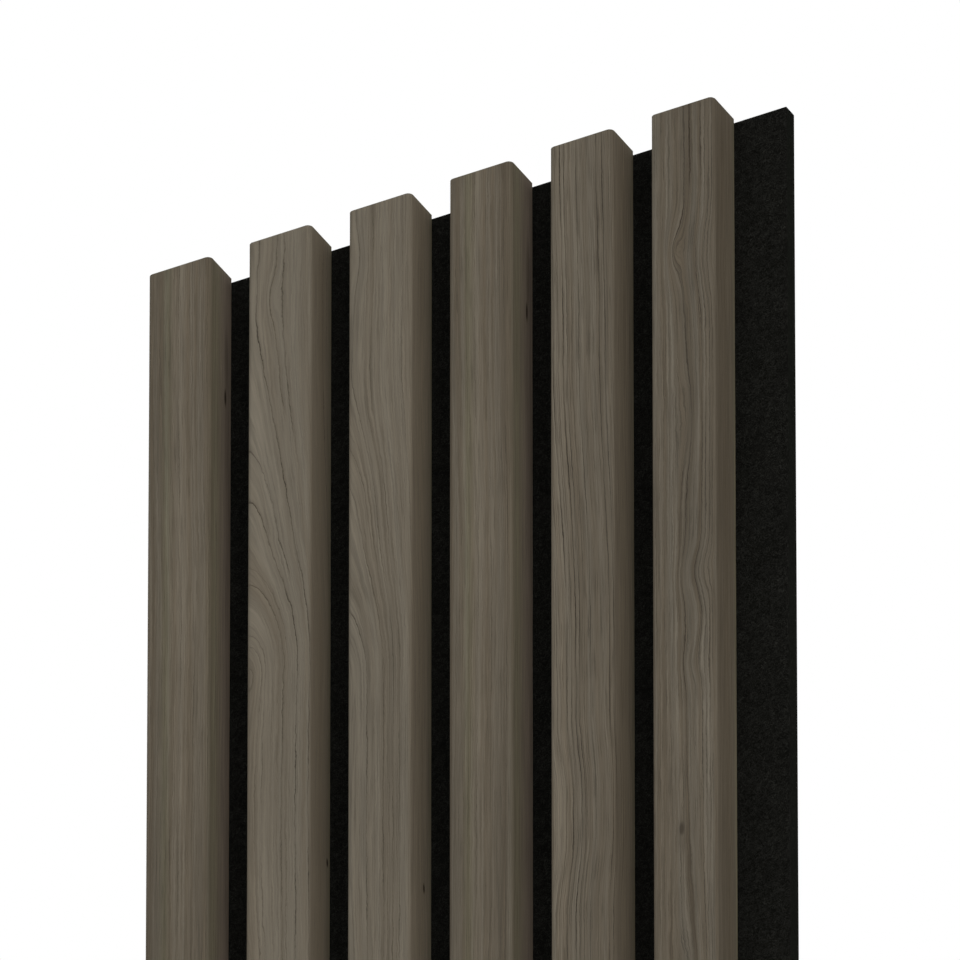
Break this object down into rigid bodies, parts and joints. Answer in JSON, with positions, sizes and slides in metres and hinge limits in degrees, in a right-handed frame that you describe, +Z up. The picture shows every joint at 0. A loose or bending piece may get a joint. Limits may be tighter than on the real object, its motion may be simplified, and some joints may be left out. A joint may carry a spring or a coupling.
{
  "type": "acoustic slat wall panel",
  "caption": "Acoustic wall panel: dark wood-finish slats with open grooves between them, stapled to a black felt backing.",
  "frame": {"origin": "centre of the felt's back face, which lies on the wall", "axes": "+X to the right as seen from the front, +Y out of the back into the wall, so the slats face -Y, and +Z up along the slats"},
  "size_m": [0.2455, 0.022, 2.4],
  "materials": {
    "wood_wrap": "matt brown-grey wood-grain wrap over fibreboard",
    "felt": "black needled polyester felt",
    "steel_wire": "bright galvanised flat wire"
  },
  "bodies": {
    "root": {"slat_1": "wood_wrap", "slat_2": "wood_wrap", "slat_3": "wood_wrap", "slat_4": "wood_wrap", "slat_5": "wood_wrap", "slat_6": "wood_wrap", "felt_backing": "felt", "staples": "steel_wire"}
  },
  "joints": []
}
